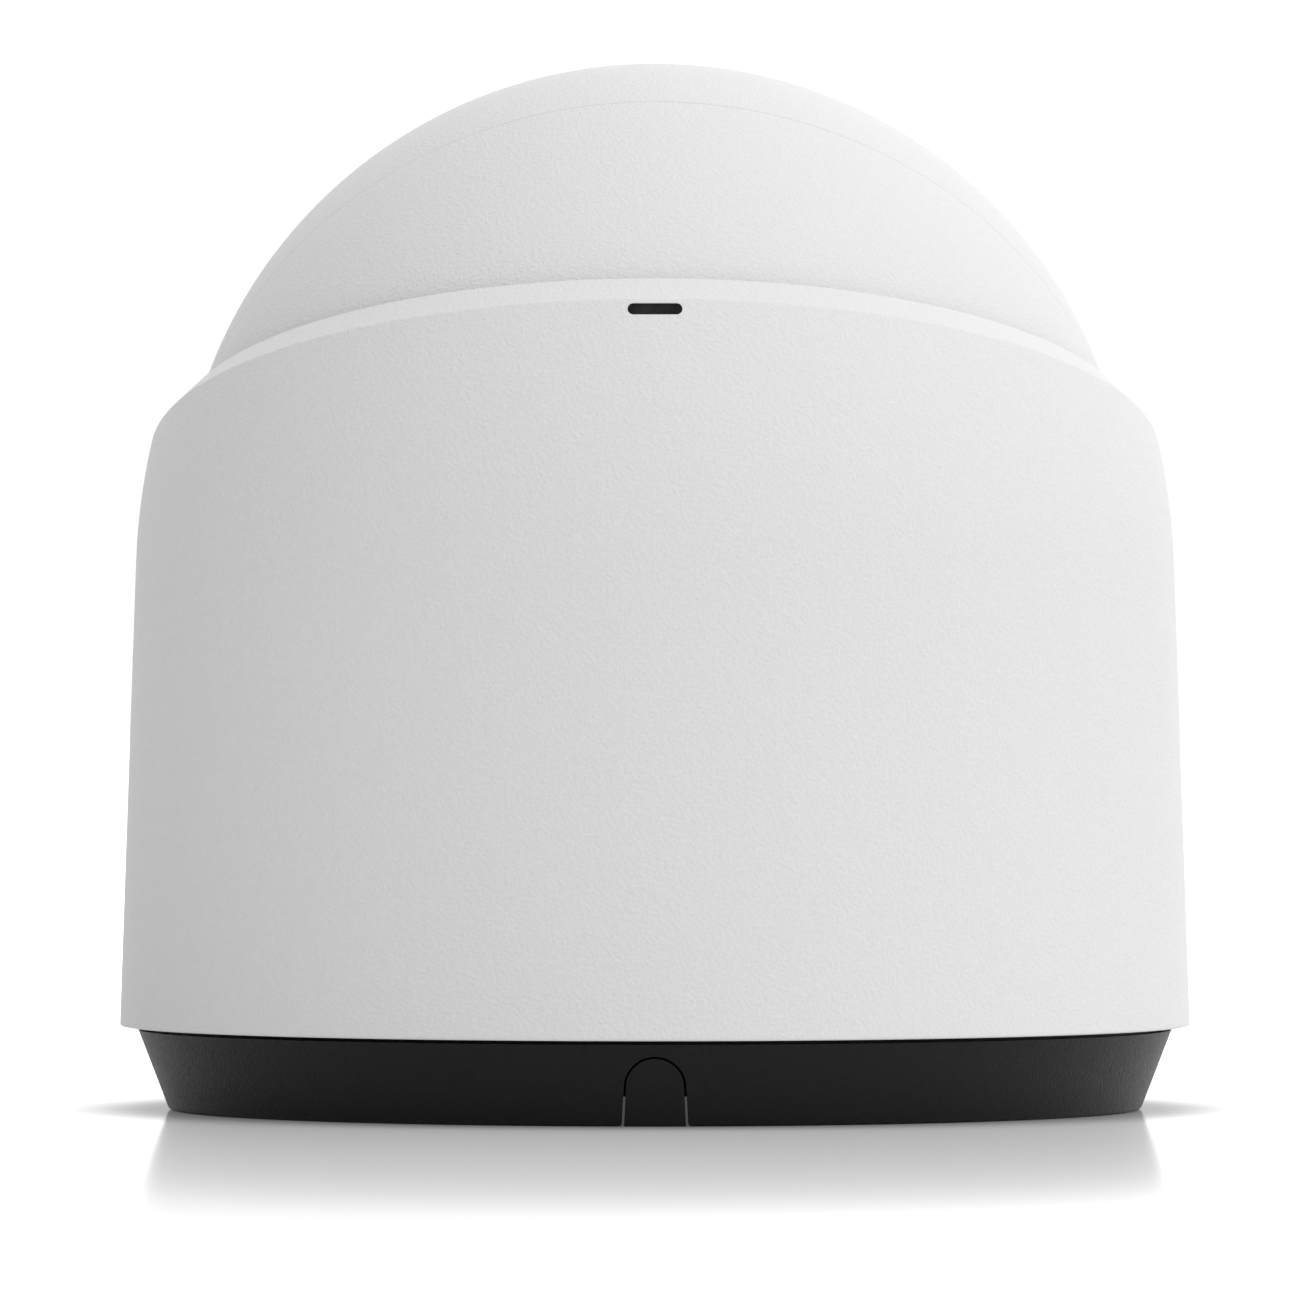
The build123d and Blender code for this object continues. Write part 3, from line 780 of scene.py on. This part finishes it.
def make_ball_rear():
    """The rear half of the ball, from the seam to the flat that carries the rear cover."""
    flat_r = sqrt(ball_r**2 - rear_flat_t**2)
    room_for_rounding = 0.3 * mm
    seam_start = ball_angle(seam_t - 2 * seam_bevel)
    outer = arc(ball_r, seam_start, ball_angle(rear_flat_t + room_for_rounding), ball_rows)
    path = seam_edge(seam_t, -1) + outer
    path += rounded_path([
        (flat_r, rear_flat_t, small_rounding), (cover_seat_r, rear_flat_t, small_rounding),
        (cover_seat_r, cover_seat_t, 0), (cover_opening_r, cover_seat_t, 0),
        (cover_opening_r, cover_land_t, 0), (cover_land_r, cover_land_t, 0),
    ], before=outer[-1])
    path += arc(ball_inner_r, inner_angle(cover_land_t), inner_angle(flange_back_t), inner_ball_rows)[1:]
    path += [
        (flange_inner_r, flange_back_t), (flange_inner_r, seam_t),
        (groove_inner_r, seam_t), (groove_inner_r, groove_floor_t),
        (groove_outer_r, groove_floor_t), (groove_outer_r, seam_t),
    ]
    finish_ball_half(new_object("ball_rear", lathe("ball_rear", path)), "ball_rear_shell")


def make_ball_front():
    """The front half of the ball, with the sleeve in which the lens module turns."""
    start_t = seam_t + seam_gap
    mouth_t = sqrt(ball_r**2 - window_mouth_r**2)
    sleeve_t = sqrt(ball_inner_r**2 - sleeve_outer_r**2)
    seam_start = ball_angle(start_t + 2 * seam_bevel)
    angle_for_rounding = 0.006
    outer = arc(ball_r, seam_start, ball_angle(mouth_t) - angle_for_rounding, ball_rows)
    path = seam_edge(start_t, 1) + outer
    path += rounded_path([
        (window_mouth_r, mouth_t, small_rounding), (window_mouth_r, sleeve_shoulder_t, 0),
        (sleeve_inner_r, sleeve_shoulder_t, 0), (sleeve_inner_r, sleeve_back_t, 0),
        (sleeve_outer_r, sleeve_back_t, 0),
    ], before=outer[-1])
    path += arc(ball_inner_r, inner_angle(sleeve_t), inner_angle(flange_front_t), inner_ball_rows)
    path += [(flange_inner_r, flange_front_t), (flange_inner_r, start_t)]
    finish_ball_half(new_object("ball_front", lathe("ball_front", path)), "ball_front_shell")


def finish_ball_half(half, node):
    """Cut the trunnion holes with their collar recesses and turn the half into place."""
    for side in (-1, 1):
        hole = cylinder("pin_cutter", pin_hole_r, pin_hole_inner_x, pin_hole_outer_x)
        recess = cylinder("collar_cutter", collar_recess_r, collar_recess_inner_x, collar_recess_outer_x)
        for cutter in (hole, recess):
            cutter.data.transform(Matrix.Rotation(side * pi / 2, 4, "Y"))
            cut(half, cutter)
    crisp(half, 30)
    along_lens(half, "ball", "white_plastic", node)


def make_board_bosses():
    """Screw bosses for the boards, inside the ball's rear half."""
    points = on_circle(board_boss_pitch_r, board_boss_angles)
    bosses = posts(
        "board_bosses", board_boss_r, board_boss_hole_r, board_boss_back_t, board_boss_front_t, points,
    )
    along_lens(bosses, "ball", "white_plastic")


# ---------------------------------------------------------------- lens module
def bearing_land(ends):
    """Corners of a raised land on the drum's outside, on which it turns in the sleeve."""
    back, front = ends
    return [(drum_r, back, 0), (drum_land_r, back, 0), (drum_land_r, front, 0), (drum_r, front, 0)]


def make_drum():
    """The black drum with its rounded bezel round the window."""
    corners = [(drum_hole_r, drum_back_t, 0), (drum_r, drum_back_t, drum_rounding)]
    corners += bearing_land(rear_land_t)
    corners += bearing_land(front_land_t)
    corners += [
        (drum_r, drum_neck_t[0], 0), (drum_neck_r, drum_neck_t[0], 0), (drum_neck_r, drum_neck_t[1], 0),
        (bezel_r, drum_neck_t[1], drum_rounding), (bezel_r, bezel_front_t, bezel_rounding),
        (window_seat_r, bezel_front_t, small_rounding), (window_seat_r, window_ledge_t[1], 0),
        (window_ledge_r, window_ledge_t[1], 0), (window_ledge_r, window_ledge_t[0], 0),
        (drum_inner_r, window_ledge_t[0], 0), (drum_inner_r, board_ledge_t[1], 0),
        (board_ledge_r, board_ledge_t[1], 0), (board_ledge_r, board_ledge_t[0], 0),
        (drum_inner_r, board_ledge_t[0], 0), (drum_inner_r, drum_floor_t, 0),
        (drum_hole_r, drum_floor_t, 0),
    ]
    drum = new_object("lens_drum", lathe("lens_drum", rounded_path(corners), drum_columns))
    along_lens(crisp(drum, 30), "lens_module", "black_plastic", "lens_drum")


def lamp_part(name, slot, shape_one, *replaced, look=None):
    """One kind of lamp part, repeated at every lamp of the infrared board."""
    build = bmesh.new()
    for x, y in on_circle(lamp_pitch_r, lamp_angles):
        shape_one(build, x, y)
    along_lens(crisp(finished(name, build)), "lens_module", slot, *replaced, look=look)


def lamp_package(build, x, y):
    """A square package with bevelled edges."""
    made = add_block(build, (x, y, package_middle_t), (package_side, package_side, package_height))
    edges = list({edge for vert in made["verts"] for edge in vert.link_edges})
    bmesh.ops.bevel(build, geom=edges, offset=package_bevel, segments=3, affect="EDGES")


def lamp_die(build, x, y):
    """The emitting die, a small square on the package."""
    add_block(build, (x, y, die_middle_t), (die_side, die_side, die_height))


def lamp_dome(build, x, y):
    """The clear dome over the die."""
    rise = [pi / 2 * i / dome_rows for i in range(dome_rows)]
    section = [(dome_tip_r, dome_base_t)]
    section += [(dome_r * cos(angle), dome_base_t + dome_height * sin(angle)) for angle in rise]
    section.append((dome_tip_r, dome_base_t + dome_height))
    dome = lathe("dome", section, post_columns)
    dome.transform(Matrix.Translation((x, y, 0)))
    build.from_mesh(dome)
    bpy.data.meshes.remove(dome)


def make_lamps():
    """Infrared lamps: package, die and clear dome."""
    lamp_part("lamp_packages", "lamp_package", lamp_package, "infrared_lamps")
    lamp_part("lamp_dies", "lamp_package", lamp_die, look="lamp_die")
    lamp_part("lamp_domes", "clear_glass", lamp_dome)


# ---------------------------------------------------------------- studio
def distance_from_axis(tree):
    """Distance on the floor from the point below the pan axis, in metres."""
    away = tree.nodes.new("ShaderNodeVectorMath")
    away.operation = "LENGTH"
    tree.links.new(place_of(tree), away.inputs[0])
    return away.outputs["Value"]


def floor_material():
    """Glossy white with a painted glow that makes it paler far from the object, and a painted contact shadow that
    makes it darker right beside the base.

    Both show to the camera only, so that the light on the object stays even.
    """
    made = shader("floor", (0.95, 0.95, 0.95), 0.085, Specular_IOR_Level=0.45)
    tree = made.node_tree
    away = distance_from_axis(tree)
    seen = tree.nodes.new("ShaderNodeLightPath").outputs["Is Camera Ray"]
    # Painted glow: emission seen by the camera only, rising from 0.18 beside the object to 0.48 at 280 mm, so the
    # floor is painted paler away from the object.
    glow = spread(tree, away, 0.18, 0.48, from_low=60 * mm, from_high=280 * mm)
    # Painted contact shadow: a mask that is strongest at the base's edge and gone by 65 mm, for the camera only.
    near = spread(tree, away, 0.6, 0.0, from_low=51 * mm, from_high=65 * mm)
    near.node.interpolation_type = "SMOOTHSTEP"
    bsdf = tree.nodes["Principled BSDF"]
    bsdf.inputs["Emission Color"].default_value = (1, 1, 1, 1)
    tree.links.new(calculate(tree, "MULTIPLY", glow, seen), bsdf.inputs["Emission Strength"])
    # The painted shadow itself: a dark diffuse sheet that the mask mixes into the floor beside the base.
    painted_shadow_sheet = tree.nodes.new("ShaderNodeBsdfDiffuse")
    painted_shadow_sheet.inputs["Color"].default_value = (0.25, 0.25, 0.25, 1.0)
    painted_contact_shadow = tree.nodes.new("ShaderNodeMixShader")
    tree.links.new(calculate(tree, "MULTIPLY", near, seen), painted_contact_shadow.inputs["Fac"])
    tree.links.new(bsdf.outputs["BSDF"], painted_contact_shadow.inputs[1])
    tree.links.new(painted_shadow_sheet.outputs["BSDF"], painted_contact_shadow.inputs[2])
    tree.links.new(painted_contact_shadow.outputs["Shader"], tree.nodes["Material Output"].inputs["Surface"])
    return made


def make_floor():
    """A glossy white floor that mirrors the base softly, just below the object."""
    half = floor_half_width
    mesh = bpy.data.meshes.new("floor")
    corners = [(-half, -half, 0), (half, -half, 0), (half, half, 0), (-half, half, 0)]
    mesh.from_pydata(corners, [], [(0, 1, 2, 3)])
    mesh.materials.append(floor_material())
    floor = new_object("floor", mesh)
    floor.location.z = cad_box[0][2] - floor_gap


def make_world():
    """Soft studio light: brighter from above and from the camera's right, on pure white."""
    world = bpy.data.worlds.new("studio")
    scene.world = world
    world.use_nodes = True
    tree = world.node_tree
    direction = tree.nodes.new("ShaderNodeTexCoord").outputs["Generated"]
    parts = tree.nodes.new("ShaderNodeSeparateXYZ")
    tree.links.new(direction, parts.inputs["Vector"])
    side_and_top = share_along(tree, direction, (-0.52, 0.0, 0.55))
    level = calculate(tree, "ADD", side_and_top, 0.605)
    high_behind_camera = calculate(tree, "MULTIPLY", parts.outputs["Y"], parts.outputs["Z"])
    key = calculate(tree, "MULTIPLY", high_behind_camera, 0.36)
    backdrop = share_along(tree, direction, (0.0, -1.0, 0.0))
    glow = spread(tree, backdrop, 0.0, 0.50, from_low=0.50, from_high=0.95)
    light = calculate(tree, "ADD", calculate(tree, "ADD", level, key), glow)
    seen = tree.nodes.new("ShaderNodeMix")
    tree.links.new(tree.nodes.new("ShaderNodeLightPath").outputs["Is Camera Ray"], seen.inputs["Factor"])
    tree.links.new(light, seen.inputs["A"])
    seen.inputs["B"].default_value = 1.05
    background = tree.nodes["Background"]
    background.inputs["Color"].default_value = (1, 1, 1, 1)
    tree.links.new(seen.outputs["Result"], background.inputs["Strength"])


def make_camera():
    """Level camera with a long lens, behind the object."""
    data = bpy.data.cameras.new("camera")
    data.sensor_width = camera_sensor
    data.lens = camera_lens
    data.clip_end = 50.0
    camera = bpy.data.objects.new("camera", data)
    scene.collection.objects.link(camera)
    camera.location = (0.0, camera_distance, camera_height)
    camera.rotation_euler = (radians(90), 0, radians(180))
    scene.camera = camera


# ---------------------------------------------------------------- build
scene.view_settings.view_transform = "Standard"
paint_cad_nodes()
make_housing()
make_ball_rear()
make_ball_front()
make_housing_bosses()
make_board_bosses()
make_drum()
make_lamps()
make_floor()
make_world()
make_camera()
